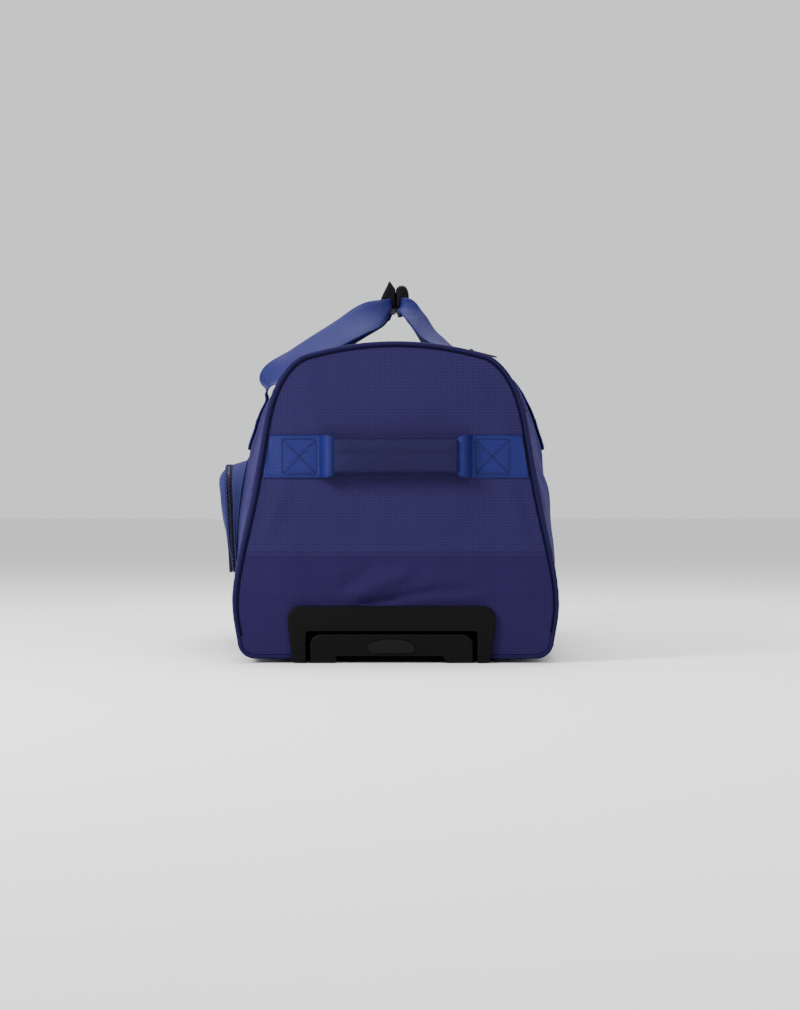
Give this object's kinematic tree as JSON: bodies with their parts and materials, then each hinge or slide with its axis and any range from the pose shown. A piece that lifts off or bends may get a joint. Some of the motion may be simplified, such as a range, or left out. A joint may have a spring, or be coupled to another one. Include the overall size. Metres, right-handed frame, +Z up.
{
  "type": "wheeled hockey equipment bag",
  "caption": "Long soft gear duffel with an arched top flap, carry and grab handles, a side pocket, a telescoping pull handle in one end and wheels at the other.",
  "frame": {"origin": "on the floor under the middle of the bag, on the underside of the centre skid rail", "axes": "+Y runs from the pull-handle end to the wheel end, +X is right seen from the pull-handle end, +Z is up"},
  "size_m": [0.4294, 0.89, 0.482],
  "materials": {
    "upper_shell_fabric": "ripstop nylon, satin",
    "lower_panel_fabric": "ripstop nylon, satin",
    "piping_cord": "bound nylon tape",
    "webbing": "ribbed nylon webbing",
    "grip_pad": "padded nylon",
    "wrap_pad": "padded nylon",
    "pocket_fabric": "ripstop nylon, satin",
    "zip_coil": "moulded nylon coil",
    "moulded_black": "fine texture",
    "button_black": "smooth",
    "board": "fine texture",
    "slider_metal": "satin black enamel",
    "tube_metal": "satin anodised",
    "screw_steel": "zinc plated",
    "spring_steel": "plain",
    "wheel_tread": "matt",
    "hub_plastic": "fine texture"
  },
  "bodies": {
    "root": {"base_board": "board", "body_zip_row": "zip_coil", "bottom_panel": "lower_panel_fabric", "frame_screws": "screw_steel", "front_end_panel": "upper_shell_fabric", "front_frame_bracket": "moulded_black", "front_grab_band": "webbing", "front_grab_loops": "webbing", "front_lower_panel": "lower_panel_fabric", "front_piping": "piping_cord", "front_top_panel": "upper_shell_fabric", "handle_bezel": "moulded_black", "left_side_panel": "upper_shell_fabric", "left_wheel_housing": "moulded_black", "outer_tube_collars": "moulded_black", "outer_tubes": "tube_metal", "pocket_gusset": "pocket_fabric", "pocket_gusset_zip_row": "zip_coil", "rail_screws": "screw_steel", "rear_end_panel": "upper_shell_fabric", "rear_frame_bracket": "moulded_black", "rear_grab_band": "webbing", "rear_grab_loops": "webbing", "rear_piping": "piping_cord", "rear_top_panel": "upper_shell_fabric", "right_side_panel": "upper_shell_fabric", "right_wheel_housing": "moulded_black", "skid_rails": "moulded_black", "strap_patches": "webbing", "wheel_axles": "screw_steel"},
    "main_flap_body": {"main_flap": "upper_shell_fabric", "flap_zip_row": "zip_coil"},
    "front_slider_body": {"front_zip_slider": "slider_metal"},
    "rear_slider_body": {"rear_zip_slider": "slider_metal"},
    "front_pull_body": {"front_zip_pull": "slider_metal"},
    "rear_pull_body": {"rear_zip_pull": "slider_metal"},
    "pocket_door_body": {"pocket_door": "pocket_fabric", "pocket_door_zip_row": "zip_coil"},
    "pocket_slider_body": {"pocket_zip_slider": "slider_metal"},
    "pocket_pull_body": {"pocket_zip_pull": "slider_metal"},
    "left_handle_body": {"left_carry_strap": "webbing", "left_grip_wrap": "wrap_pad"},
    "right_handle_body": {"right_carry_strap": "webbing", "right_grip_wrap": "wrap_pad"},
    "front_grab_body": {"front_grab_grip": "grip_pad"},
    "rear_grab_body": {"rear_grab_grip": "grip_pad"},
    "middle_stage": {"middle_tubes": "tube_metal", "middle_tube_glides": "moulded_black"},
    "pull_grip": {"inner_tubes": "tube_metal", "inner_tube_guides": "moulded_black", "grip_front_shell": "moulded_black", "grip_back_shell": "moulded_black", "grip_screws": "screw_steel", "button_springs": "spring_steel"},
    "button_body": {"release_button": "button_black", "lock_rods": "screw_steel"},
    "left_wheel_body": {"left_wheel_tyre": "wheel_tread", "left_wheel_hub": "hub_plastic"},
    "right_wheel_body": {"right_wheel_tyre": "wheel_tread", "right_wheel_hub": "hub_plastic"}
  },
  "joints": [
    {"name": "main_flap_hinge", "type": "hinge", "parent": "root", "child": "main_flap_body", "pos_m": [0.076, 0, 0.37272], "axis": [0, 1, 0], "range_deg": [0, 110]},
    {"name": "left_handle_swing", "type": "hinge", "parent": "root", "child": "left_handle_body", "pos_m": [-0.1802, 0, 0.3003], "axis": [0, 1, 0], "range_deg": [-110, 0]},
    {"name": "right_handle_swing", "type": "hinge", "parent": "root", "child": "right_handle_body", "pos_m": [0.1802, 0, 0.3003], "axis": [0, 1, 0], "range_deg": [0, 110]},
    {"name": "front_zip_travel", "type": "hinge", "parent": "root", "child": "front_slider_body", "pos_m": [0, -0.344, 0.004], "axis": [0, 1, 0], "range_deg": [-18, 0]},
    {"name": "rear_zip_travel", "type": "hinge", "parent": "root", "child": "rear_slider_body", "pos_m": [0, 0.344, 0.004], "axis": [0, 1, 0], "range_deg": [-18, 0]},
    {"name": "front_zip_pull_flip", "type": "hinge", "parent": "front_slider_body", "child": "front_pull_body", "pos_m": [0.09094, -0.344, 0.37183], "axis": [0, 1, 0], "range_deg": [-150, 0]},
    {"name": "rear_zip_pull_flip", "type": "hinge", "parent": "rear_slider_body", "child": "rear_pull_body", "pos_m": [0.09094, 0.344, 0.37183], "axis": [0, 1, 0], "range_deg": [-150, 0]},
    {"name": "pocket_door_hinge", "type": "hinge", "parent": "root", "child": "pocket_door_body", "pos_m": [-0.21667, 0, 0.152], "axis": [0, -1, 0], "range_deg": [0, 60]},
    {"name": "pocket_zip_travel", "type": "slide", "parent": "root", "child": "pocket_slider_body", "axis": [0.0523, 0, -0.9986], "range_m": [-0.055, 0]},
    {"name": "pocket_zip_pull_flip", "type": "hinge", "parent": "pocket_slider_body", "child": "pocket_pull_body", "pos_m": [-0.2096, 0.1739, 0.14], "axis": [-0.9986, 0, -0.0523], "range_deg": [-150, 0]},
    {"name": "front_grab_swing", "type": "hinge", "parent": "root", "child": "front_grab_body", "pos_m": [0, -0.418, 0.243], "axis": [1, 0, 0], "range_deg": [-30, 30], "deforming": ["front_grab_loops"]},
    {"name": "rear_grab_swing", "type": "hinge", "parent": "root", "child": "rear_grab_body", "pos_m": [0, 0.418, 0.243], "axis": [1, 0, 0], "range_deg": [-30, 30], "deforming": ["rear_grab_loops"]},
    {"name": "middle_stage_slide", "type": "slide", "parent": "root", "child": "middle_stage", "axis": [0, -1, 0], "range_m": [0, 0.34]},
    {"name": "pull_grip_slide", "type": "slide", "parent": "middle_stage", "child": "pull_grip", "axis": [0, -1, 0], "range_m": [0, 0.34]},
    {"name": "release_button_press", "type": "slide", "parent": "pull_grip", "child": "button_body", "axis": [0, 1, 0], "range_m": [0, 0.0035], "stiffness_N_per_m": 400, "springref_m": -0.001, "deforming": ["button_springs"]},
    {"name": "left_wheel_spin", "type": "hinge", "parent": "root", "child": "left_wheel_body", "pos_m": [-0.163, 0.389, 0.038], "axis": [1, 0, 0], "continuous": true},
    {"name": "right_wheel_spin", "type": "hinge", "parent": "root", "child": "right_wheel_body", "pos_m": [0.163, 0.389, 0.038], "axis": [1, 0, 0], "continuous": true}
  ],
  "couplings": [
    {"joint": "left_handle_swing", "follows": "main_flap_hinge", "ratio": -1},
    {"joint": "right_handle_swing", "follows": "main_flap_hinge", "ratio": 1}
  ]
}
